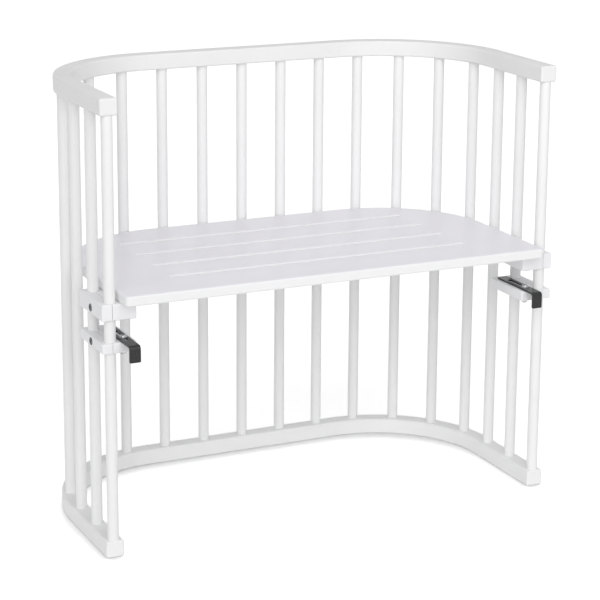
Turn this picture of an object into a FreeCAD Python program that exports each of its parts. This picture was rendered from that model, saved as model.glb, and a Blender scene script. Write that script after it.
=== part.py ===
"""Bedside sleeper crib: a U of round bars between two bent rails, open towards the adult bed.

A lying board with ventilation slots is clamped to the two front bars on each side, and below it
a second pair of clamps carries the hooks that hold the crib to the bed. Millimetres, +Z up.
The open front looks along -Y, the origin is on the floor under the middle of the whole object.
"""
import FreeCAD, Part
import Sketcher
import math
import os

doc = FreeCAD.newDocument("bedside_crib")
sheet = doc.addObject("Spreadsheet::Sheet", "dims")

DRIVING = (
    ("overall_width", 872, "outside of the left arm to outside of the right arm"),
    ("rail_depth", 435, "front end of an arm to the back of the rails"),
    ("overall_height", 800, "floor to the top of the top rail"),
    ("corner_radius", 238, "outside radius of the rails' bends, in plan"),
    ("rail_width", 32, "rail section, across"),
    ("rail_height", 30, "rail section, upright"),
    ("rail_round", 3.5, "rounding of the rails' long edges"),
    ("joint_bevel", 0.5, "fine bevel where two rail sections meet"),
    ("front_reach", 40, "left hook's front face ahead of the arms' front ends"),
    ("right_reach", 27, "the same of the right hook, which is pushed in further"),
    ("bar_diameter", 20, "round bars"),
    ("bar_count", 19, "bars along the whole U"),
    ("bar_inset", 12, "first bar's axis behind the arm's front end"),
    ("bar_seat", 15, "depth that a bar goes into each rail"),
    ("dowel_diameter", 8, "dowels across each joint of the rails"),
    ("dowel_length", 48, "half in each rail section"),
    ("dowel_spacing", 14, "between the two dowels of a joint"),
    ("board_top", 470, "height of the lying surface"),
    ("board_thickness", 18, "lying board"),
    ("board_gap", 5, "between the board's edge and the bars"),
    ("board_overhang", 29.5, "board's front edge ahead of the arms' front ends"),
    ("board_corner", 8, "front corners of the board, in plan"),
    ("board_round", 3, "rounding of the board's edges"),
    ("slot_count", 4, "ventilation slots"),
    ("slot_pitch", 81.5, "between the slots' axes"),
    ("slot_length", 580, "end to end"),
    ("slot_width", 10, "across"),
    ("slot_round", 2.5, "rounding of the slots' edges"),
    ("strip_length", 115, "clamp strips, along the arm"),
    ("strip_ahead", 14, "clamp strips' front end ahead of the first bar's axis"),
    ("strip_gap", 0.8, "between outer and inner strip, at the bars' axes"),
    ("strip_round", 2.5, "rounding of the strips' edges"),
    ("notch_clearance", 0.3, "round notch to bar"),
    ("outer_strip_width", 18, "outer strips, across"),
    ("inner_strip_width", 43, "inner strips, across"),
    ("upper_strip_height", 29, "strips under the board"),
    ("lower_strip_height", 18, "strips that carry the hooks"),
    ("lower_strip_top", 384, "height of the hooks' seat"),
    ("upper_bolt_height", 11.5, "upper clamp bolt's axis above the strips' underside"),
    ("clamp_bolt_diameter", 8, "clamp bolts"),
    ("clamp_bolt_hole", 8.6, "clearance hole for a clamp bolt"),
    ("clamp_head_diameter", 13, "low cylinder head of a clamp bolt"),
    ("clamp_head_height", 5, "low cylinder head of a clamp bolt"),
    ("clamp_head_seat", 14, "counterbore for the head, in the outer strip"),
    ("clamp_head_sunk", 4, "depth of that counterbore"),
    ("clamp_socket", 5, "hexagon socket of a clamp bolt, across flats"),
    ("socket_depth", 2.4, "hexagon sockets"),
    ("thread_end", 0.8, "bevel at the end of a bolt"),
    ("insert_diameter", 12, "threaded insert in the inner strip"),
    ("insert_length", 18, "threaded insert"),
    ("hook_width", 20, "flat bar of the hook"),
    ("hook_thickness", 3, "flat bar of the hook"),
    ("hook_axis", 394.5, "hook's middle line from the middle of the crib"),
    ("hook_length", 126, "front face of the leg to the rear end"),
    ("hook_drop", 29, "top of the hook to the end of its leg"),
    ("hook_bend", 4, "inside radius of the bend"),
    ("hook_corner", 2, "rounding of the flat bar's corners"),
    ("hook_slot_width", 8, "slot for the upright bolt"),
    ("hook_slot_front", 38.5, "front face of the leg to the slot's front end"),
    ("hook_slot_rear", 102, "front face of the leg to the slot's rear end"),
    ("upright_diameter", 6, "upright bolt through the hook's slot"),
    ("upright_hole", 6.6, "clearance hole for the upright bolt"),
    ("upright_head", 11, "button head of the upright bolt"),
    ("upright_head_height", 3.4, "button head of the upright bolt"),
    ("upright_socket", 4, "hexagon socket of the upright bolt, across flats"),
    ("upright_bolt_place", 17, "upright bolt behind the arms' front ends"),
    ("washer_diameter", 14, "washers"),
    ("washer_thickness", 1.6, "washers"),
    ("nut_across", 10, "nut, across flats"),
    ("nut_height", 5, "nut"),
    ("screw_diameter", 4, "screws from the upper inner strips into the board"),
    ("screw_head", 8, "countersunk head"),
    ("countersink_angle", 90, "degrees, of the screws' heads"),
    ("screw_length", 37, "head to point"),
    ("screw_spacing", 62, "between the two screws of a strip"),
    ("screw_place", 12, "screw axis from the strip's inner face"),
)
for row, (alias, value, note) in enumerate(DRIVING, start=1):
    sheet.set(f"A{row}", note)
    sheet.set(f"B{row}", str(value))
    sheet.setAlias(f"B{row}", alias)
doc.recompute()


class Size:
    """A length known as a number and as an expression of the sheet's cells."""

    def __init__(self, value, text):
        self.value = value
        self.text = text

    @staticmethod
    def of(thing):
        return thing if isinstance(thing, Size) else Size(float(thing), repr(float(thing)))

    def __add__(self, other):
        other = Size.of(other)
        return Size(self.value + other.value, f"({self.text} + {other.text})")

    def __sub__(self, other):
        other = Size.of(other)
        return Size(self.value - other.value, f"({self.text} - {other.text})")

    def __mul__(self, other):
        other = Size.of(other)
        return Size(self.value * other.value, f"({self.text} * {other.text})")

    def __truediv__(self, other):
        other = Size.of(other)
        return Size(self.value / other.value, f"({self.text} / {other.text})")

    def __neg__(self):
        return Size(0.0, "0") - self


def dim(alias):
    return Size(float(sheet.get(alias)), f"dims.{alias}")


def cosine(degrees):
    return Size(math.cos(math.radians(degrees.value)), f"cos({degrees.text})")


def sine(degrees):
    return Size(math.sin(math.radians(degrees.value)), f"sin({degrees.text})")


def bind(thing, name, size):
    thing.setExpression(name, Size.of(size).text)


# ---------------------------------------------------------------- places worked out from the sheet
half_width = dim("overall_width") / 2
whole_depth = dim("rail_depth") + dim("front_reach")
back = whole_depth / 2
front = back - dim("rail_depth")
bar_radius = dim("bar_diameter") / 2
bend_x = half_width - dim("corner_radius")
bend_y = back - dim("corner_radius")
bend_line = dim("corner_radius") - dim("rail_width") / 2
arm_length = dim("rail_depth") - dim("corner_radius")
bend_length = bend_line * (math.pi / 2)
line_length = arm_length * 2 + bend_length * 2 + bend_x * 2
bar_pitch = (line_length - dim("bar_inset") * 2) / (dim("bar_count") - 1)
bar_line_x = half_width - dim("rail_width") / 2
bar_line_back = back - dim("rail_width") / 2
strip_middle = front + dim("bar_inset") - dim("strip_ahead") + dim("strip_length") / 2
board_bottom = dim("board_top") - dim("board_thickness")
outer_strip_in = bar_line_x + dim("strip_gap") / 2
outer_strip_out = outer_strip_in + dim("outer_strip_width")
inner_strip_out = bar_line_x - dim("strip_gap") / 2
inner_strip_in = inner_strip_out - dim("inner_strip_width")
upright_bolt_y = front + dim("upright_bolt_place")


def bar_place(index):
    """Place in plan of bar number index, counted from the right arm's front end along the U."""
    if index > 9:
        x, y = bar_place(18 - index)
        return -x, y
    along = dim("bar_inset") + bar_pitch * index
    if along.value <= arm_length.value:
        return bar_line_x, front + along
    if along.value <= (arm_length + bend_length).value:
        angle = (along - arm_length) / bend_line * (180 / math.pi)
        return bend_x + bend_line * cosine(angle), bend_y + bend_line * sine(angle)
    return bend_x - (along - arm_length - bend_length), bar_line_back


# ---------------------------------------------------------------- helpers for bodies and sketches
def new_body(label):
    body = doc.addObject("PartDesign::Body", label)
    body.Label = label
    return body


def new_sketch(body, name, role, offset=None):
    """A sketch on one of the body's own origin planes, moved along the plane's normal."""
    sketch = body.newObject("Sketcher::SketchObject", f"{body.Name}_{name}")
    plane = next(part for part in body.Origin.OriginFeatures if part.Role == role)
    sketch.AttachmentSupport = [(plane, "")]
    sketch.MapMode = "FlatFace"
    if offset is not None:
        bind(sketch, "AttachmentOffset.Base.z", offset)
    return sketch


def hold(sketch, geometry, point, x=None, y=None):
    """Ties a point of the sketch to distances from the sketch's origin."""
    for kind, axis, size in (("DistanceX", -2, x), ("DistanceY", -1, y)):
        if size is None:
            continue
        size = Size.of(size)
        if abs(size.value) < 1e-9:
            sketch.addConstraint(Sketcher.Constraint("PointOnObject", geometry, point, axis))
            continue
        index = sketch.addConstraint(
            Sketcher.Constraint(kind, -1, 1, geometry, point, size.value))
        bind(sketch, f"Constraints[{index}]", size)


def add_radius(sketch, geometry, size):
    index = sketch.addConstraint(Sketcher.Constraint("Radius", geometry, size.value))
    bind(sketch, f"Constraints[{index}]", size)


def vector(x, y):
    return FreeCAD.Vector(Size.of(x).value, Size.of(y).value, 0)


def add_line(sketch, start, end):
    return sketch.addGeometry(Part.LineSegment(vector(*start), vector(*end)), False)


def add_arc(sketch, centre, radius, first, last):
    """A counter-clockwise arc, angles in degrees."""
    circle = Part.Circle(vector(*centre), FreeCAD.Vector(0, 0, 1), radius.value)
    arc = Part.ArcOfCircle(circle, math.radians(first), math.radians(last))
    return sketch.addGeometry(arc, False)


def add_circle(sketch, x, y, radius):
    circle = Part.Circle(vector(x, y), FreeCAD.Vector(0, 0, 1), radius.value)
    geometry = sketch.addGeometry(circle, False)
    hold(sketch, geometry, 3, x, y)
    add_radius(sketch, geometry, radius)


def join(sketch, kind, first, first_point, second, second_point):
    sketch.addConstraint(
        Sketcher.Constraint(kind, first, first_point, second, second_point))


def add_polygon(sketch, corners):
    """A closed outline of straight lines, each corner held to the sheet."""
    lines = []
    for number, corner in enumerate(corners):
        lines.append(add_line(sketch, corner, corners[(number + 1) % len(corners)]))
    for number, line in enumerate(lines):
        join(sketch, "Coincident", line, 2, lines[(number + 1) % len(lines)], 1)
        hold(sketch, line, 1, *corners[number])


def add_rectangle(sketch, x_low, x_high, y_low, y_high):
    corners = [(x_low, y_low), (x_high, y_low), (x_high, y_high), (x_low, y_high)]
    add_polygon(sketch, corners)


def add_slot(sketch, x_low, x_high, y_low, y_high, lengthwise):
    """A slot with round ends; lengthwise is the axis, x or y, that it runs along."""
    along_x = lengthwise == "x"
    across = (y_high - y_low) if along_x else (x_high - x_low)
    radius = across / 2
    if along_x:
        middle = (y_low + y_high) / 2
        low_centre = (x_low + radius, middle)
        high_centre = (x_high - radius, middle)
        low_arc = add_arc(sketch, low_centre, radius, 90, 270)
        first_side = add_line(sketch, (low_centre[0], y_low), (high_centre[0], y_low))
        high_arc = add_arc(sketch, high_centre, radius, -90, 90)
        second_side = add_line(sketch, (high_centre[0], y_high), (low_centre[0], y_high))
    else:
        middle = (x_low + x_high) / 2
        low_centre = (middle, y_low + radius)
        high_centre = (middle, y_high - radius)
        low_arc = add_arc(sketch, low_centre, radius, 180, 360)
        first_side = add_line(sketch, (x_high, low_centre[1]), (x_high, high_centre[1]))
        high_arc = add_arc(sketch, high_centre, radius, 0, 180)
        second_side = add_line(sketch, (x_low, high_centre[1]), (x_low, low_centre[1]))
    ring = (low_arc, first_side, high_arc, second_side)
    for number, piece in enumerate(ring):
        join(sketch, "Tangent", piece, 2, ring[(number + 1) % len(ring)], 1)
    hold(sketch, low_arc, 3, *low_centre)
    hold(sketch, high_arc, 3, *high_centre)
    add_radius(sketch, low_arc, radius)


def pad(body, sketch, length, midplane=False):
    feature = body.newObject("PartDesign::Pad", f"{sketch.Name}_pad")
    feature.Profile = sketch
    bind(feature, "Length", length)
    feature.Midplane = midplane
    return feature


def cut_depth(body, sketch, depth, along_normal):
    """A pocket of a given depth; along_normal cuts to the side that the sketch's normal shows."""
    feature = body.newObject("PartDesign::Pocket", f"{sketch.Name}_pocket")
    feature.Profile = sketch
    bind(feature, "Length", depth)
    feature.Reversed = along_normal
    return feature


def cut_through(body, sketch):
    feature = body.newObject("PartDesign::Pocket", f"{sketch.Name}_pocket")
    feature.Profile = sketch
    feature.Type = "ThroughAll"
    feature.Midplane = True
    return feature


def edge_names(body, base, wanted):
    """Names of the edges of base that the function wanted picks out."""
    doc.recompute()
    names = [f"Edge{number}" for number, edge in enumerate(base.Shape.Edges, start=1) if wanted(edge)]
    if not names:
        raise RuntimeError(f"{body.Label}: no such edge")
    return names


def round_edges(body, base, radius, wanted):
    """Fillets the edges of base that the function wanted picks out."""
    fillet = body.newObject("PartDesign::Fillet", f"{base.Name}_round")
    fillet.Base = (base, edge_names(body, base, wanted))
    bind(fillet, "Radius", radius)
    return fillet


def bevel_edges(body, base, size, wanted):
    """Chamfers the edges of base that the function wanted picks out."""
    chamfer = body.newObject("PartDesign::Chamfer", f"{base.Name}_bevel")
    chamfer.Base = (base, edge_names(body, base, wanted))
    bind(chamfer, "Size", size)
    return chamfer


def near(value, size):
    return abs(value - Size.of(size).value) < 1e-4


def edge_in_plane(edge, axis, place):
    """True if the edge lies in the plane where the coordinate axis has the value place."""
    low = (edge.BoundBox.XMin, edge.BoundBox.YMin, edge.BoundBox.ZMin)[axis]
    high = (edge.BoundBox.XMax, edge.BoundBox.YMax, edge.BoundBox.ZMax)[axis]
    return near(low, place) and near(high, place)


def set_place(thing, x=0, y=0, z=0):
    for axis, size in zip("xyz", (x, y, z)):
        bind(thing, f"Placement.Base.{axis}", size)


def turn(thing, axis, angle):
    thing.Placement = FreeCAD.Placement(FreeCAD.Vector(), FreeCAD.Rotation(axis, angle))


nodes = {}


def keep(thing, name=None):
    """Marks an object as a node, to be written to a file of its label's name."""
    thing.Label = name or thing.Label
    nodes[thing.Label] = thing
    return thing


def mirrored(source, label):
    """The mirror image of a right-hand piece, on the left."""
    image = doc.addObject("Part::Mirroring", label)
    image.Source = source
    image.Normal = FreeCAD.Vector(1, 0, 0)
    return image


def keep_pair(right):
    """Keeps a right-hand piece and its mirror image."""
    label = right.Label.replace("right", "left")
    keep(right)
    keep(mirrored(right, label), label)


# ---------------------------------------------------------------- rails
def rail_outline_corner(sketch):
    """Plan of the right corner section: straight arm, then a quarter bend to the back."""
    inner_radius = dim("corner_radius") - dim("rail_width")
    inner_x = half_width - dim("rail_width")
    centre = (bend_x, bend_y)
    outer_side = add_line(sketch, (half_width, front), (half_width, bend_y))
    outer_bend = add_arc(sketch, centre, dim("corner_radius"), 0, 90)
    joint_end = add_line(sketch, (bend_x, back), (bend_x, back - dim("rail_width")))
    inner_bend = add_arc(sketch, centre, inner_radius, 0, 90)
    inner_side = add_line(sketch, (inner_x, bend_y), (inner_x, front))
    front_end = add_line(sketch, (inner_x, front), (half_width, front))
    join(sketch, "Tangent", outer_side, 2, outer_bend, 1)
    join(sketch, "Coincident", outer_bend, 2, joint_end, 1)
    join(sketch, "Coincident", joint_end, 2, inner_bend, 2)
    join(sketch, "Tangent", inner_bend, 1, inner_side, 1)
    join(sketch, "Coincident", inner_side, 2, front_end, 1)
    join(sketch, "Coincident", front_end, 2, outer_side, 1)
    join(sketch, "Coincident", outer_bend, 3, inner_bend, 3)
    sketch.addConstraint(Sketcher.Constraint("Vertical", outer_side))
    sketch.addConstraint(Sketcher.Constraint("Vertical", inner_side))
    sketch.addConstraint(Sketcher.Constraint("Vertical", joint_end))
    sketch.addConstraint(Sketcher.Constraint("Horizontal", front_end))
    hold(sketch, outer_bend, 3, bend_x, bend_y)
    hold(sketch, joint_end, 1, x=bend_x)
    hold(sketch, front_end, 1, y=front)
    add_radius(sketch, outer_bend, dim("corner_radius"))
    add_radius(sketch, inner_bend, inner_radius)


def rail_section(label, is_top, is_corner, bars):
    """One section of a rail: outline, rounded long edges, seats for its bars and dowel holes."""
    body = new_body(label)
    outline = new_sketch(body, "outline", "XY_Plane")
    if is_corner:
        rail_outline_corner(outline)
    else:
        add_rectangle(outline, -bend_x, bend_x, back - dim("rail_width"), back)
    solid = pad(body, outline, dim("rail_height"))

    def long_edge(edge):
        flat = edge_in_plane(edge, 2, 0) or edge_in_plane(edge, 2, dim("rail_height"))
        at_joint = edge_in_plane(edge, 0, bend_x) or edge_in_plane(edge, 0, -bend_x)
        at_front = edge_in_plane(edge, 1, front)
        return (flat or at_front) and not at_joint

    rounded = round_edges(body, solid, dim("rail_round"), long_edge)

    def joint_edge(edge):
        return edge_in_plane(edge, 0, bend_x) or edge_in_plane(edge, 0, -bend_x)

    bevel_edges(body, rounded, dim("joint_bevel"), joint_edge)
    seat_face = Size.of(0) if is_top else dim("rail_height")
    seats = new_sketch(body, "bar_seats", "XY_Plane", seat_face)
    for index in bars:
        x, y = bar_place(index)
        add_circle(seats, x, y, bar_radius)
    cut_depth(body, seats, dim("bar_seat"), along_normal=is_top)
    for side in ((1,) if is_corner else (1, -1)):
        holes = new_sketch(body, f"dowel_holes_{'right' if side > 0 else 'left'}", "YZ_Plane",
                           bend_x * side)
        for shift in (-0.5, 0.5):
            add_circle(holes, bar_line_back + dim("dowel_spacing") * shift, dim("rail_height") / 2,
                       dim("dowel_diameter") / 2)
        into_corner = is_corner or side < 0
        cut_depth(body, holes, dim("dowel_length") / 2, along_normal=into_corner)
    set_place(body, z=dim("overall_height") - dim("rail_height") if is_top else 0)
    return body


def rail_dowels(label, is_top):
    """The four dowels of one rail, two across each joint, as one group."""
    dowels = []
    middle = dim("overall_height") - dim("rail_height") / 2 if is_top else dim("rail_height") / 2
    for side in (1, -1):
        for shift in (-0.5, 0.5):
            dowel = doc.addObject("Part::Cylinder", f"{label}_part")
            bind(dowel, "Radius", dim("dowel_diameter") / 2)
            bind(dowel, "Height", dim("dowel_length"))
            turn(dowel, FreeCAD.Vector(0, 1, 0), 90)
            set_place(dowel, bend_x * side - dim("dowel_length") / 2,
                      bar_line_back + dim("dowel_spacing") * shift, middle)
            dowels.append(dowel)
    group = doc.addObject("Part::Compound", label)
    group.Links = dowels
    return group


def bar(index):
    rod = doc.addObject("Part::Cylinder", f"bar_{index + 1:02d}")
    bind(rod, "Radius", bar_radius)
    bind(rod, "Height", dim("overall_height") - dim("rail_height") * 2 + dim("bar_seat") * 2)
    x, y = bar_place(index)
    set_place(rod, x, y, dim("rail_height") - dim("bar_seat"))
    return rod


# ---------------------------------------------------------------- lying board
def lying_board():
    """D-shaped panel that follows the bars, with rounded edges and lengthwise slots."""
    body = new_body("lying_board")
    inward = dim("rail_width") / 2 + bar_radius + dim("board_gap")
    side = half_width - inward
    bend = dim("corner_radius") - inward
    rear = back - inward
    corner = dim("board_corner")
    edge = front - dim("board_overhang")
    plan = new_sketch(body, "plan", "XY_Plane")
    ring = (
        add_line(plan, (corner - side, edge), (side - corner, edge)),
        add_arc(plan, (side - corner, edge + corner), corner, -90, 0),
        add_line(plan, (side, edge + corner), (side, bend_y)),
        add_arc(plan, (bend_x, bend_y), bend, 0, 90),
        add_line(plan, (bend_x, rear), (-bend_x, rear)),
        add_arc(plan, (-bend_x, bend_y), bend, 90, 180),
        add_line(plan, (-side, bend_y), (-side, edge + corner)),
        add_arc(plan, (corner - side, edge + corner), corner, 180, 270),
    )
    for number, piece in enumerate(ring):
        join(plan, "Tangent", piece, 2, ring[(number + 1) % len(ring)], 1)
    for arc, x, y, radius in ((ring[1], side - corner, edge + corner, corner),
                              (ring[3], bend_x, bend_y, bend),
                              (ring[5], -bend_x, bend_y, bend),
                              (ring[7], corner - side, edge + corner, corner)):
        hold(plan, arc, 3, x, y)
        add_radius(plan, arc, radius)
    panel = pad(body, plan, dim("board_thickness"))

    def outline_edge(found):
        return edge_in_plane(found, 2, 0) or edge_in_plane(found, 2, dim("board_thickness"))

    round_edges(body, panel, dim("board_round"), outline_edge)
    slot = new_sketch(body, "slot", "XY_Plane")
    half_slot = dim("slot_length") / 2
    half_slot_width = dim("slot_width") / 2
    first = (edge + rear) / 2 - dim("slot_pitch") * (dim("slot_count") - 1) / 2
    add_slot(slot, -half_slot, half_slot, first - half_slot_width, first + half_slot_width, "x")
    opening = cut_through(body, slot)
    slots = body.newObject("PartDesign::LinearPattern", "slots")
    slots.Originals = [opening]
    backwards = next(part for part in body.Origin.OriginFeatures if part.Role == "Y_Axis")
    slots.Direction = (backwards, [""])
    bind(slots, "Length", dim("slot_pitch") * (dim("slot_count") - 1))
    bind(slots, "Occurrences", dim("slot_count"))
    body.Tip = slots

    def slot_edge(found):
        """On the top or underside, and well inside the outline."""
        box = found.BoundBox
        inside = box.YMin > edge.value + 20 and box.YMax < rear.value - 20
        return inside and max(-box.XMin, box.XMax) < half_slot.value + 1 and outline_edge(found)

    round_edges(body, slots, dim("slot_round"), slot_edge)
    holes = new_sketch(body, "screw_holes", "XY_Plane")
    for x, y in screw_places():
        add_circle(holes, x, y, dim("screw_diameter") / 2)
    depth = dim("screw_length") - dim("upper_strip_height")
    cut_depth(body, holes, depth, along_normal=True)
    set_place(body, z=board_bottom)
    return body


def screw_places():
    """Plan places of the four screws that join the upper inner strips and the board."""
    reach = inner_strip_in + dim("screw_place")
    half = dim("screw_spacing") / 2
    return [(reach * side, strip_middle + half * end) for side in (1, -1) for end in (-1, 1)]


# ---------------------------------------------------------------- clamps
def clamp_strip(label, x_low, x_high, height, top, features):
    """A wooden strip with half-round notches for the two front bars and a cross bolt hole."""
    body = new_body(label)
    half = dim("strip_length") / 2
    blank = new_sketch(body, "blank", "XY_Plane")
    add_rectangle(blank, x_low, x_high, strip_middle - half, strip_middle + half)
    solid = pad(body, blank, height)
    is_outer = x_low.value > bar_line_x.value
    free_face = x_high if is_outer else x_low

    def free_edge(edge):
        along = edge_in_plane(edge, 0, free_face)
        flat = edge_in_plane(edge, 2, 0) or edge_in_plane(edge, 2, height)
        ends = edge_in_plane(edge, 1, strip_middle - half) or edge_in_plane(edge, 1, strip_middle + half)
        return along or (flat and ends)

    round_edges(body, solid, dim("strip_round"), free_edge)
    notches = new_sketch(body, "notches", "XY_Plane")
    for index in (0, 1):
        x, y = bar_place(index)
        add_circle(notches, x, y, bar_radius + dim("notch_clearance"))
    cut_through(body, notches)
    features(body)
    set_place(body, z=top - height)
    return body


def outer_strip(label, height, top, bolt_height):
    def bolt_hole(body):
        """Clearance hole with a counterbore that takes most of the head."""
        for name, diameter, depth in (("bolt_hole", dim("clamp_bolt_hole"), dim("outer_strip_width")),
                                      ("head_seat", dim("clamp_head_seat"), dim("clamp_head_sunk"))):
            hole = new_sketch(body, name, "YZ_Plane", outer_strip_out)
            add_circle(hole, strip_middle, bolt_height, diameter / 2)
            cut_depth(body, hole, depth, along_normal=False)

    return clamp_strip(label, outer_strip_in, outer_strip_out, height, top, bolt_hole)


def inner_strip(label, height, top, bolt_height, extra):
    def holes(body):
        seat = new_sketch(body, "insert_seat", "YZ_Plane", inner_strip_out)
        add_circle(seat, strip_middle, bolt_height, dim("insert_diameter") / 2)
        cut_depth(body, seat, dim("insert_length"), along_normal=False)
        extra(body)

    return clamp_strip(label, inner_strip_in, inner_strip_out, height, top, holes)


def upper_inner_strip(label):
    def screw_holes(body):
        """Countersunk from below, so that the heads lie flush."""
        places = new_sketch(body, "screw_places", "XY_Plane")
        for x, y in screw_places()[:2]:
            add_circle(places, x, y, dim("screw_diameter") / 2)
        doc.recompute()
        hole = body.newObject("PartDesign::Hole", f"{body.Name}_screw_holes")
        hole.Profile = places
        hole.ThreadType = "None"
        bind(hole, "Diameter", dim("screw_diameter"))
        hole.HoleCutType = "Countersink"
        bind(hole, "HoleCutDiameter", dim("screw_head"))
        bind(hole, "HoleCutCountersinkAngle", dim("countersink_angle"))
        hole.DepthType = "ThroughAll"
        hole.Reversed = True

    return inner_strip(label, dim("upper_strip_height"), board_bottom, dim("upper_bolt_height"),
                       screw_holes)


def lower_inner_strip(label):
    def upright_hole(body):
        hole = new_sketch(body, "upright_hole", "XY_Plane")
        add_circle(hole, dim("hook_axis"), upright_bolt_y, dim("upright_hole") / 2)
        cut_through(body, hole)

    return inner_strip(label, dim("lower_strip_height"), dim("lower_strip_top"),
                       dim("lower_strip_height") / 2, upright_hole)


# ---------------------------------------------------------------- fasteners
def socket_bolt(label, diameter, length, head_diameter, head_height, rounding, across):
    """Bolt with a round head above its own origin, its shank pointing down."""
    body = new_body(label)
    head = head_diameter / 2
    shank = diameter / 2
    end = dim("thread_end")
    round_centre = (head - rounding, head_height - rounding)
    profile = new_sketch(body, "profile", "XZ_Plane")
    corners = [(Size.of(0), -length), (shank - end, -length), (shank, end - length),
               (shank, Size.of(0)), (head, Size.of(0)), (head, round_centre[1])]
    lines = [add_line(profile, first, second) for first, second in zip(corners, corners[1:])]
    rim = add_arc(profile, round_centre, rounding, 0, 90)
    crown = add_line(profile, (round_centre[0], head_height), (Size.of(0), head_height))
    axis = add_line(profile, (Size.of(0), head_height), corners[0])
    for first, second in zip(lines, lines[1:]):
        join(profile, "Coincident", first, 2, second, 1)
    join(profile, "Tangent", lines[-1], 2, rim, 1)
    join(profile, "Tangent", rim, 2, crown, 1)
    join(profile, "Coincident", crown, 2, axis, 1)
    join(profile, "Coincident", axis, 2, lines[0], 1)
    for line, corner in zip(lines, corners):
        hold(profile, line, 1, *corner)
    hold(profile, rim, 3, *round_centre)
    hold(profile, axis, 1, x=0)
    add_radius(profile, rim, rounding)
    turned = body.newObject("PartDesign::Revolution", f"{label}_turned")
    turned.Profile = profile
    turned.ReferenceAxis = (profile, ["V_Axis"])
    turned.Angle = 360
    doc.recompute()
    socket = new_sketch(body, "socket", "XY_Plane", head_height)
    corner = across / math.sqrt(3)
    add_polygon(socket, [(corner * math.cos(math.radians(60 * step + 30)),
                          corner * math.sin(math.radians(60 * step + 30))) for step in range(6)])
    cut_depth(body, socket, dim("socket_depth"), along_normal=False)
    return body


def ring(label, outer, inner, thickness, x, y, z, along_x=False, hexagon=False):
    """A washer, threaded insert or nut: a round or hexagonal ring with a plain bore."""
    if hexagon:
        blank = doc.addObject("Part::Prism", f"{label}_blank")
        blank.Polygon = 6
        bind(blank, "Circumradius", outer / math.sqrt(3))
    else:
        blank = doc.addObject("Part::Cylinder", f"{label}_blank")
        bind(blank, "Radius", outer / 2)
    bore = doc.addObject("Part::Cylinder", f"{label}_bore")
    bind(blank, "Height", thickness)
    bind(bore, "Radius", inner / 2)
    bind(bore, "Height", thickness)
    for piece in (blank, bore):
        if along_x:
            turn(piece, FreeCAD.Vector(0, 1, 0), 90)
        set_place(piece, x, y, z)
    result = doc.addObject("Part::Cut", label)
    result.Base = blank
    result.Tool = bore
    return result


def clamp_bolt(label, level):
    """The cross bolt of one clamp, its head let into the outer strip, its end in the insert."""
    sunk = dim("clamp_head_sunk")
    length = dim("outer_strip_width") - sunk + dim("strip_gap") + dim("insert_length")
    bolt = socket_bolt(label, dim("clamp_bolt_diameter"), length, dim("clamp_head_diameter"),
                       dim("clamp_head_height"), dim("clamp_head_height") / 5, dim("clamp_socket"))
    turn(bolt, FreeCAD.Vector(0, 1, 0), 90)
    set_place(bolt, outer_strip_out - sunk, strip_middle, level)
    return bolt


def insert(label, level):
    return ring(label, dim("insert_diameter"), dim("clamp_bolt_diameter"), dim("insert_length"),
                inner_strip_out - dim("insert_length"), strip_middle, level, along_x=True)


def board_screws():
    """Countersunk screws up through the upper inner strips into the board, as one group."""
    screws = []
    shank = dim("screw_diameter") / 2
    head = dim("screw_head") / 2
    for number, (x, y) in enumerate(screw_places(), start=1):
        screw = new_body(f"board_screw_{number}")
        profile = new_sketch(screw, "profile", "XZ_Plane")
        add_polygon(profile, [(Size.of(0), Size.of(0)), (head, Size.of(0)), (shank, head - shank),
                              (shank, dim("screw_length")), (Size.of(0), dim("screw_length"))])
        turned = screw.newObject("PartDesign::Revolution", f"{screw.Name}_turned")
        turned.Profile = profile
        turned.ReferenceAxis = (profile, ["V_Axis"])
        turned.Angle = 360
        set_place(screw, x, y, board_bottom - dim("upper_strip_height"))
        screws.append(screw)
    group = doc.addObject("Part::Compound", "board_screws")
    group.Links = screws
    return group


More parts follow.
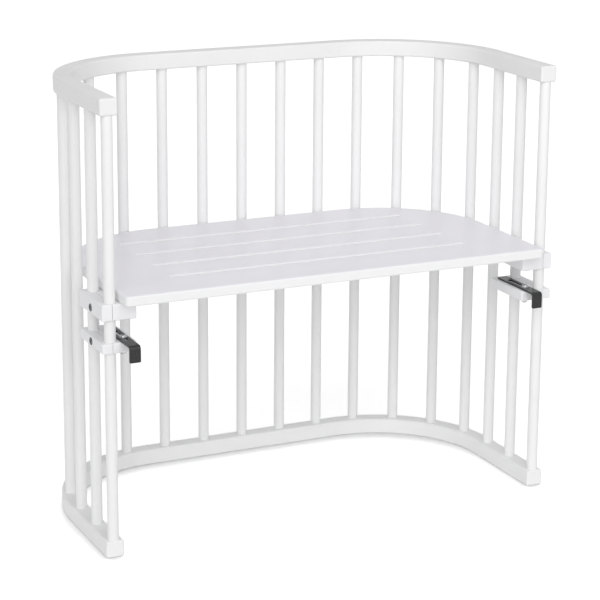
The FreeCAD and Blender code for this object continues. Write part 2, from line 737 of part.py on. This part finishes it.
# ---------------------------------------------------------------- hooks
def hook_bar(label, reach):
    """Flat bar bent down at the front, with a long slot for the upright bolt."""
    body = new_body(label)
    seat = dim("lower_strip_top")
    top = seat + dim("hook_thickness")
    foot = top - dim("hook_drop")
    face = front - reach
    inner_face = face + dim("hook_thickness")
    rear = face + dim("hook_length")
    bend = dim("hook_bend")
    outer_bend = bend + dim("hook_thickness")
    centre = (inner_face + bend, seat - bend)
    side = new_sketch(body, "side", "YZ_Plane", dim("hook_axis"))
    upper = add_line(side, (rear, top), (centre[0], top))
    outside = add_arc(side, centre, outer_bend, 90, 180)
    leg_front = add_line(side, (face, centre[1]), (face, foot))
    leg_end = add_line(side, (face, foot), (inner_face, foot))
    leg_back = add_line(side, (inner_face, foot), (inner_face, centre[1]))
    inside = add_arc(side, centre, bend, 90, 180)
    under = add_line(side, (centre[0], seat), (rear, seat))
    rear_end = add_line(side, (rear, seat), (rear, top))
    join(side, "Tangent", upper, 2, outside, 1)
    join(side, "Tangent", outside, 2, leg_front, 1)
    join(side, "Coincident", leg_front, 2, leg_end, 1)
    join(side, "Coincident", leg_end, 2, leg_back, 1)
    join(side, "Tangent", leg_back, 2, inside, 2)
    join(side, "Tangent", inside, 1, under, 1)
    join(side, "Coincident", under, 2, rear_end, 1)
    join(side, "Coincident", rear_end, 2, upper, 1)
    hold(side, outside, 3, *centre)
    hold(side, inside, 3, *centre)
    add_radius(side, outside, outer_bend)
    add_radius(side, inside, bend)
    hold(side, leg_end, 1, y=foot)
    hold(side, leg_end, 2, y=foot)
    hold(side, rear_end, 1, rear, seat)
    hold(side, rear_end, 2, x=rear)
    bent = pad(body, side, dim("hook_width"), midplane=True)

    def corner_edge(edge):
        across = edge.BoundBox.XLength < 1e-6
        at_rear = edge_in_plane(edge, 1, rear) and edge.BoundBox.ZLength > 1
        at_foot = edge_in_plane(edge, 2, foot) and edge.BoundBox.YLength > 1
        return across and (at_rear or at_foot)

    round_edges(body, bent, dim("hook_corner"), corner_edge)
    slot = new_sketch(body, "slot", "XY_Plane", seat)
    half = dim("hook_slot_width") / 2
    add_slot(slot, dim("hook_axis") - half, dim("hook_axis") + half,
             face + dim("hook_slot_front"), face + dim("hook_slot_rear"), "y")
    cut_depth(body, slot, dim("hook_thickness"), along_normal=True)
    return body


def upright_bolt(label):
    """Clamps the hook on the lower inner strip; its end stands out under the nut."""
    below = dim("lower_strip_height") + dim("washer_thickness") + dim("nut_height") + 2
    bolt = socket_bolt(label, dim("upright_diameter"),
                       dim("hook_thickness") + dim("washer_thickness") + below, dim("upright_head"),
                       dim("upright_head_height"), dim("upright_head_height") * 0.75,
                       dim("upright_socket"))
    set_place(bolt, dim("hook_axis"), upright_bolt_y,
              dim("lower_strip_top") + dim("hook_thickness") + dim("washer_thickness"))
    return bolt


def upright_ring(label, outer, thickness, z, hexagon=False):
    return ring(label, outer, dim("upright_diameter"), thickness,
                dim("hook_axis"), upright_bolt_y, z, hexagon=hexagon)


# ---------------------------------------------------------------- the whole crib
for level in ("top", "bottom"):
    is_top = level == "top"
    keep_pair(rail_section(f"{level}_rail_right", is_top, True, range(0, 7)))
    keep(rail_section(f"{level}_rail_back", is_top, False, range(7, 12)))
    keep(rail_dowels(f"{level}_rail_dowels", is_top))
for index in range(int(dim("bar_count").value)):
    keep(bar(index))
keep(lying_board())
keep(board_screws())

upper_height = dim("upper_strip_height")
lower_height = dim("lower_strip_height")
lower_top = dim("lower_strip_top")
strip_bottom = lower_top - lower_height
hook_top = lower_top + dim("hook_thickness")
upper_level = board_bottom - upper_height + dim("upper_bolt_height")
lower_level = strip_bottom + lower_height / 2
keep_pair(outer_strip("upper_outer_strip_right", upper_height, board_bottom, dim("upper_bolt_height")))
keep_pair(upper_inner_strip("upper_inner_strip_right"))
keep_pair(clamp_bolt("upper_clamp_bolt_right", upper_level))
keep_pair(insert("upper_insert_right", upper_level))
keep_pair(outer_strip("lower_outer_strip_right", lower_height, lower_top, lower_height / 2))
keep_pair(lower_inner_strip("lower_inner_strip_right"))
keep_pair(clamp_bolt("lower_clamp_bolt_right", lower_level))
keep_pair(insert("lower_insert_right", lower_level))
keep(hook_bar("hook_right", dim("right_reach")))
keep(mirrored(hook_bar("hook_left_unmirrored", dim("front_reach")), "hook_left"))
keep_pair(upright_bolt("hook_bolt_right"))
keep_pair(upright_ring("hook_washer_right", dim("washer_diameter"), dim("washer_thickness"), hook_top))
keep_pair(upright_ring("nut_washer_right", dim("washer_diameter"), dim("washer_thickness"),
                       strip_bottom - dim("washer_thickness")))
keep_pair(upright_ring("hook_nut_right", dim("nut_across"), dim("nut_height"),
                       strip_bottom - dim("washer_thickness") - dim("nut_height"), hexagon=True))
doc.recompute()

# ---------------------------------------------------------------- test and write
for thing in doc.Objects:
    if "Invalid" in thing.State or "Error" in thing.State:
        raise RuntimeError(f"{thing.Label} failed: {thing.State}")
os.makedirs("parts", exist_ok=True)
for name, node in sorted(nodes.items()):
    shape = node.Shape
    if shape.isNull() or not shape.isValid():
        raise RuntimeError(f"{name} has no valid shape")
    shape.exportStep(f"parts/{name}.step")
    box = shape.BoundBox
    print(f"{name:28s} solids {len(shape.Solids)} volume {shape.Volume / 1000:9.2f} cm3 "
          f"x {box.XMin:7.1f}..{box.XMax:7.1f} y {box.YMin:7.1f}..{box.YMax:7.1f} "
          f"z {box.ZMin:6.1f}..{box.ZMax:6.1f}")
print(len(nodes), "nodes")
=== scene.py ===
"""Looks of the bedside crib: lacquered beech, a satin board, black hooks and zinc fasteners."""
import math

import bpy
from mathutils import Matrix, Vector


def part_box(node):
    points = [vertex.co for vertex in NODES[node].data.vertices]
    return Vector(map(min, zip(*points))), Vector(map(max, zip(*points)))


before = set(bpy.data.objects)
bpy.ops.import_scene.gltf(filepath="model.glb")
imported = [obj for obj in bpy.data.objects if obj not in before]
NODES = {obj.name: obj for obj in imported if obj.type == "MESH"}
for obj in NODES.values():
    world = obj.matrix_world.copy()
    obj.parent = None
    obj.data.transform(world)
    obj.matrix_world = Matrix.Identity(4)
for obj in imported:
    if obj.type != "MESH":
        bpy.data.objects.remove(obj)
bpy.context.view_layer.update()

# ---------------------------------------------------------------- places read from the frame
BACK_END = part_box("top_rail_back")[1]
BEND_X = BACK_END.x                     # where the back's straight section ends
HALF_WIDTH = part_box("top_rail_right")[1].x
BEND_Y = BACK_END.y - (HALF_WIDTH - BEND_X)
BOARD_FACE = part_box("lying_board")[1].z - 0.001     # just under the board's top face

# ---------------------------------------------------------------- colours, linear
LACQUER_WHITE = (0.89, 0.89, 0.89, 1)
LACQUER_SHADE = (0.86, 0.86, 0.86, 1)
# painted shade: the top rail wears the bottom rail's lacquer, painted darker here
RAIL_WHITE_IN_PAINTED_SHADE = (0.85, 0.85, 0.85, 1)
RAIL_SHADE_IN_PAINTED_SHADE = (0.83, 0.83, 0.83, 1)
STRIP_WHITE = (0.89, 0.89, 0.91, 1)
STRIP_SHADE = (0.87, 0.87, 0.89, 1)
# painted light: the board's top face gets a cool tint for the light that falls on it, and its edges stay
# EDGE_WHITE
BOARD_WHITE_WITH_PAINTED_COOL_LIGHT = (0.885, 0.87, 0.925, 1)
BOARD_SHADE_WITH_PAINTED_COOL_LIGHT = (0.865, 0.85, 0.905, 1)
EDGE_WHITE = (0.875, 0.875, 0.88, 1)
BARE_BEECH = (0.55, 0.33, 0.17, 1)
DARK_BEECH = (0.40, 0.22, 0.10, 1)
HOOK_BLACK = (0.012, 0.012, 0.013, 1)
HOOK_WORN = (0.030, 0.030, 0.032, 1)
BOLT_BLACK = (0.085, 0.085, 0.092, 1)
BOLT_WORN = (0.150, 0.150, 0.158, 1)
ZINC = (0.60, 0.61, 0.62, 1)
ZINC_DULL = (0.42, 0.42, 0.43, 1)

# ---------------------------------------------------------------- noise scales and relief heights in metres
ALONG_GRAIN = 0.04                      # coordinates along the grain are squeezed by this, so it is drawn out
MOST_NOISE = (0.3, 0.7)                 # nearly all noise values lie between these

LACQUER_GRAIN_SCALE, LACQUER_GRAIN_HEIGHT = 420.0, 0.000006
LACQUER_PEEL_SCALE, LACQUER_PEEL_HEIGHT = 900.0, 0.000004
LACQUER_CLOUD_SCALE = 9.0
GRAIN_IN_TONE = 0.35                    # share of the grain in the lacquer's tone, which is mostly clouds
TONE_RANGE = (0.35, 0.95)

BEECH_GRAIN_SCALE, BEECH_GRAIN_HEIGHT = 500.0, 0.0001
BEECH_ROUGHNESS = 0.62

STEEL_PIT_SCALE, STEEL_PIT_HEIGHT = 1800.0, 0.00003
STEEL_RUB_SCALE = 260.0
STEEL_RUB_RANGE = (0.52, 0.72)
STEEL_SPECULAR = 0.42

ZINC_BLOTCH_SCALE = 420.0
ZINC_FINE_SCALE, ZINC_FINE_HEIGHT = 4000.0, 0.00002
ZINC_ROUGHNESS = (0.24, 0.42)


# ---------------------------------------------------------------- small helpers for node trees
class Tree:
    """The node tree of a material or world, with short calls for the nodes that are used here."""

    def __init__(self, owner):
        owner.use_nodes = True
        self.owner = owner
        self.nodes = owner.node_tree.nodes
        self.links = owner.node_tree.links

    def add(self, kind, **settings):
        node = self.nodes.new(kind)
        for name, value in settings.items():
            setattr(node, name, value)
        return node

    def feed(self, socket, source):
        """Links a socket, or sets a plain value on it."""
        if isinstance(source, bpy.types.NodeSocket):
            self.links.new(source, socket)
        else:
            socket.default_value = source

    def maths(self, operation, first, second=0.0):
        node = self.add("ShaderNodeMath", operation=operation)
        self.feed(node.inputs[0], first)
        self.feed(node.inputs[1], second)
        return node.outputs[0]

    def point(self):
        """The point's place in the piece's own coordinates, which at rest are the frame's, in metres."""
        return self.add("ShaderNodeTexCoord").outputs["Object"]

    def place(self):
        """The same as separate X, Y, Z."""
        split = self.add("ShaderNodeSeparateXYZ")
        self.links.new(self.point(), split.inputs[0])
        return split.outputs

    def vector(self, x, y, z):
        node = self.add("ShaderNodeCombineXYZ")
        for socket, source in zip(node.inputs, (x, y, z)):
            self.feed(socket, source)
        return node.outputs[0]

    def noise(self, where, scale, detail, roughness=0.5):
        node = self.add("ShaderNodeTexNoise")
        self.feed(node.inputs["Vector"], where)
        self.feed(node.inputs["Scale"], scale)
        self.feed(node.inputs["Detail"], detail)
        self.feed(node.inputs["Roughness"], roughness)
        return node.outputs["Fac"]

    def spread(self, source, span, to_span=(0.0, 1.0)):
        """Maps one span of values on another and cuts off what lies outside."""
        node = self.add("ShaderNodeMapRange")
        for socket, value in zip(node.inputs, (source, *span, *to_span)):
            self.feed(socket, value)
        return node.outputs[0]

    def mix(self, share, first, second):
        node = self.add("ShaderNodeMix", data_type="RGBA")
        self.feed(node.inputs["Factor"], share)
        self.feed(node.inputs[6], first)
        self.feed(node.inputs[7], second)
        return node.outputs[2]

    def bump(self, height, distance, below=None):
        node = self.add("ShaderNodeBump")
        self.feed(node.inputs["Height"], height)
        self.feed(node.inputs["Distance"], distance)
        self.feed(node.inputs["Strength"], 1.0)
        if below is not None:
            self.feed(node.inputs["Normal"], below)
        return node.outputs[0]

    def finish(self, **sockets):
        """Feeds the Principled shader; a socket's name is written with underscores."""
        shader = self.nodes["Principled BSDF"]
        for name, source in sockets.items():
            self.feed(shader.inputs[name.replace("_", " ")], source)
        return self.owner


def material_tree(name):
    return Tree(bpy.data.materials.new(name))


def grain_point(tree, run):
    """The point with its coordinate along the grain squeezed; run is x, y, z or rail, along the U."""
    x, y, z = tree.place()
    if run == "rail":
        # on a bend, the distance from the bend's upright axis is what crosses the grain
        side = tree.maths("MAXIMUM", tree.maths("SUBTRACT", tree.maths("ABSOLUTE", x), BEND_X), 0.0)
        rear = tree.maths("MAXIMUM", tree.maths("SUBTRACT", y, BEND_Y), 0.0)
        squares = tree.maths("ADD", tree.maths("MULTIPLY", side, side), tree.maths("MULTIPLY", rear, rear))
        across = tree.maths("SQRT", squares)
        along = tree.maths("MULTIPLY", tree.maths("SUBTRACT", x, y), ALONG_GRAIN)
        return tree.vector(across, along, z)
    parts = [tree.maths("MULTIPLY", part, ALONG_GRAIN) if axis == run else part
             for axis, part in zip("xyz", (x, y, z))]
    return tree.vector(*parts)


# ---------------------------------------------------------------- materials
def lacquered_wood(name, run, white, shade, roughness=(0.41, 0.50), specular=0.3, cool_light_painted_above=None):
    """White lacquer over close-grained wood: the grain only shows as a faint relief.

    White and shade take turns in soft clouds. Where a height is given for the painted light, they colour only
    what lies above it: a cool tint painted on the top face for the light that falls on it. The edges and
    slots below it are EDGE_WHITE.
    """
    tree = material_tree(name)
    grain = tree.noise(grain_point(tree, run), LACQUER_GRAIN_SCALE, detail=4.0, roughness=0.6)
    clouds = tree.noise(tree.point(), LACQUER_CLOUD_SCALE, detail=2.0)
    peel = tree.noise(tree.point(), LACQUER_PEEL_SCALE, detail=1.0)
    tone = tree.spread(tree.maths("ADD", tree.maths("MULTIPLY", grain, GRAIN_IN_TONE), clouds), TONE_RANGE)
    colour = tree.mix(tone, white, shade)
    if cool_light_painted_above is not None:
        height = tree.place()[2]
        # painted light: the cool tint goes on the top face only
        colour = tree.mix(tree.maths("GREATER_THAN", height, cool_light_painted_above), EDGE_WHITE, colour)
    relief = tree.bump(grain, LACQUER_GRAIN_HEIGHT)
    return tree.finish(
        Base_Color=colour,
        Roughness=tree.spread(clouds, MOST_NOISE, roughness),
        Specular_IOR_Level=specular,
        Normal=tree.bump(peel, LACQUER_PEEL_HEIGHT, below=relief))


def bare_wood():
    """Unpainted dowels, grain along X."""
    tree = material_tree("bare_wood")
    grain = tree.noise(grain_point(tree, "x"), BEECH_GRAIN_SCALE, detail=5.0, roughness=0.65)
    return tree.finish(
        Base_Color=tree.mix(grain, BARE_BEECH, DARK_BEECH),
        Roughness=BEECH_ROUGHNESS,
        Normal=tree.bump(grain, BEECH_GRAIN_HEIGHT))


def black_steel(name, black, worn, roughness):
    """Coated steel: fine pitted skin, rubbed lighter in streaks along Y."""
    tree = material_tree(name)
    pits = tree.noise(tree.point(), STEEL_PIT_SCALE, detail=2.0, roughness=0.6)
    rub = tree.noise(grain_point(tree, "y"), STEEL_RUB_SCALE, detail=3.0)
    return tree.finish(
        Base_Color=tree.mix(tree.spread(rub, STEEL_RUB_RANGE), black, worn),
        Metallic=0.0,
        Roughness=tree.spread(pits, MOST_NOISE, roughness),
        Specular_IOR_Level=STEEL_SPECULAR,
        Normal=tree.bump(pits, STEEL_PIT_HEIGHT))


def zinc_steel():
    """Zinc plating, slightly blotched."""
    tree = material_tree("zinc_steel")
    blotches = tree.noise(tree.point(), ZINC_BLOTCH_SCALE, detail=3.0, roughness=0.6)
    fine = tree.noise(tree.point(), ZINC_FINE_SCALE, detail=1.0)
    return tree.finish(
        Base_Color=tree.mix(blotches, ZINC, ZINC_DULL),
        Metallic=1.0,
        Roughness=tree.spread(blotches, MOST_NOISE, ZINC_ROUGHNESS),
        Normal=tree.bump(fine, ZINC_FINE_HEIGHT))


# ---------------------------------------------------------------- which piece wears which material
ZINC_PARTS = ("hook_bolt", "washer", "nut", "insert", "screws")


def dress(material, *names):
    """Gives CAD nodes a material."""
    for name in names:
        mesh = NODES[name].data
        mesh.materials.clear()
        mesh.materials.append(material)


def with_any(*words):
    """Names of the nodes that have one of the words in them."""
    return [name for name in sorted(NODES) if any(word in name for word in words)]


dress(lacquered_wood("lacquer_bars", "z", LACQUER_WHITE, LACQUER_SHADE), *with_any("bar_"))
# painted shade: the top rail gets a darker copy of the bottom rail's lacquer
dress(lacquered_wood("lacquer_top_rail_painted_shade", "rail", RAIL_WHITE_IN_PAINTED_SHADE, RAIL_SHADE_IN_PAINTED_SHADE),
      "top_rail_left", "top_rail_back", "top_rail_right")
dress(lacquered_wood("lacquer_bottom_rail", "rail", LACQUER_WHITE, LACQUER_SHADE),
      "bottom_rail_left", "bottom_rail_back", "bottom_rail_right")
# painted light: a cool tint on the board's top face only
dress(lacquered_wood("lacquer_board_painted_cool_light", "x", BOARD_WHITE_WITH_PAINTED_COOL_LIGHT, BOARD_SHADE_WITH_PAINTED_COOL_LIGHT, roughness=(0.28, 0.37), specular=0.45,
                     cool_light_painted_above=BOARD_FACE), "lying_board")
dress(lacquered_wood("lacquer_strips", "y", STRIP_WHITE, STRIP_SHADE), *with_any("_strip_"))
dress(bare_wood(), "top_rail_dowels", "bottom_rail_dowels")
dress(black_steel("powder_coat", HOOK_BLACK, HOOK_WORN, (0.25, 0.37)), "hook_left", "hook_right")
dress(black_steel("black_oxide", BOLT_BLACK, BOLT_WORN, (0.37, 0.49)), *with_any("clamp_bolt"))
dress(zinc_steel(), *with_any(*ZINC_PARTS))

# ---------------------------------------------------------------- floor
FLOOR_SIZE = 60.0
FLOOR_WHITE = 0.95                      # its colour for the light that it throws on the object
FLOOR_GLOW = 0.45                       # lifts it to white for the camera and in reflections
SHADE_REACH = 0.075                     # m from the object
SHADE_TOWARDS = (0.44, 0.745, 0.5)      # the floor is shaded by what stands in this direction
SHADE_RANGE = (0.42, 0.70)              # openness with the full shade, and with none
SHADED_WHITE = 0.85


def seen_rays(tree, *kinds):
    """1 for camera rays and the given kinds, and 0 for the other rays, which light the object."""
    path = tree.add("ShaderNodeLightPath")
    seen = path.outputs["Is Camera Ray"]
    for kind in kinds:
        seen = tree.maths("MAXIMUM", seen, path.outputs[kind])
    return seen


def floor_material():
    """White floor that keeps shadows, with a narrow shade along what stands on it."""
    tree = material_tree("floor")
    tree.nodes.remove(tree.nodes["Principled BSDF"])
    seen = seen_rays(tree, "Is Glossy Ray", "Is Transmission Ray")
    nearness = tree.add("ShaderNodeAmbientOcclusion", samples=16)
    tree.feed(nearness.inputs["Distance"], SHADE_REACH)
    tree.feed(nearness.inputs["Normal"], tree.vector(*SHADE_TOWARDS))
    open_share = tree.spread(nearness.outputs["AO"], SHADE_RANGE)
    seen_white = tree.spread(open_share, (0.0, 1.0), (SHADED_WHITE, 1.0))
    diffuse = tree.add("ShaderNodeBsdfDiffuse")
    tree.feed(diffuse.inputs["Color"], tree.spread(seen, (0.0, 1.0), (FLOOR_WHITE, seen_white)))
    glow = tree.add("ShaderNodeEmission")
    full_glow = tree.maths("MULTIPLY", seen, FLOOR_GLOW)
    tree.feed(glow.inputs["Strength"], tree.maths("MULTIPLY", full_glow, open_share))
    both = tree.add("ShaderNodeAddShader")
    tree.feed(both.inputs[0], diffuse.outputs[0])
    tree.feed(both.inputs[1], glow.outputs[0])
    tree.feed(tree.nodes["Material Output"].inputs["Surface"], both.outputs[0])
    return tree.owner


bpy.ops.mesh.primitive_plane_add(size=FLOOR_SIZE, location=(0, 0, 0))
floor = bpy.context.object
floor.name = "floor"
floor.data.materials.append(floor_material())

# ---------------------------------------------------------------- light
WORLD_LIGHT = 0.48                      # the world as a lamp
WORLD_SEEN = 1.0                        # the world for the camera and in reflections


def sky():
    """White surroundings, brighter where they are seen than as a lamp."""
    tree = Tree(bpy.data.worlds.new("studio"))
    background = tree.nodes["Background"]
    tree.feed(background.inputs["Color"], (1, 1, 1, 1))
    seen = seen_rays(tree, "Is Glossy Ray")
    tree.feed(background.inputs["Strength"], tree.spread(seen, (0.0, 1.0), (WORLD_LIGHT, WORLD_SEEN)))
    bpy.context.scene.world = tree.owner


def lamp(name, data, towards):
    """Hangs up a lamp that shines in the direction towards."""
    holder = bpy.data.objects.new(name, data)
    bpy.context.scene.collection.objects.link(holder)
    holder.rotation_euler = Vector(towards).to_track_quat("-Z", "Y").to_euler()
    return holder


def sun(name, towards, strength, angle):
    """A soft lamp without a place."""
    data = bpy.data.lights.new(name, "SUN")
    data.energy = strength
    data.angle = math.radians(angle)
    lamp(name, data, towards)


def softbox(name, place, aim, power, size):
    """A square lamp close to the object, which the camera doesn't show."""
    data = bpy.data.lights.new(name, "AREA")
    data.energy = power
    data.size = size
    holder = lamp(name, data, Vector(aim) - Vector(place))
    holder.location = place
    holder.visible_camera = False


sky()
sun("front_key", towards=(0.42, 0.88, -0.20), strength=1.98, angle=90)
softbox("front_box", place=(0.0, -0.9, 1.3), aim=(0.1, 0.2, 0.5), power=2.0, size=0.8)

# ---------------------------------------------------------------- camera
FOCAL_PIXELS = 2047.0
FRAME_PIXELS = 600.0
SENSOR_WIDTH = 36.0
CAMERA_YAW = math.radians(25.42)
CAMERA_PITCH = math.radians(14.05)
CAMERA_ROLL = math.radians(0.40)
CAMERA_PLACE = Vector((-1.546, -3.295, 1.386))
CAMERA_SHIFT = -0.10


def make_camera():
    data = bpy.data.cameras.new("camera")
    data.sensor_width = SENSOR_WIDTH
    data.lens = FOCAL_PIXELS / FRAME_PIXELS * SENSOR_WIDTH
    data.shift_y = CAMERA_SHIFT
    data.clip_end = 100.0
    camera = bpy.data.objects.new("camera", data)
    forward = Vector((math.sin(CAMERA_YAW) * math.cos(CAMERA_PITCH),
                      math.cos(CAMERA_YAW) * math.cos(CAMERA_PITCH), -math.sin(CAMERA_PITCH)))
    level = Vector((math.cos(CAMERA_YAW), -math.sin(CAMERA_YAW), 0.0))
    upward = level.cross(forward)
    right = level * math.cos(CAMERA_ROLL) + upward * math.sin(CAMERA_ROLL)
    up = upward * math.cos(CAMERA_ROLL) - level * math.sin(CAMERA_ROLL)
    turn = Matrix((right, up, -forward)).transposed().to_4x4()
    camera.matrix_world = Matrix.Translation(CAMERA_PLACE) @ turn
    bpy.context.scene.collection.objects.link(camera)
    bpy.context.scene.camera = camera


make_camera()
bpy.context.scene.view_settings.view_transform = "Standard"
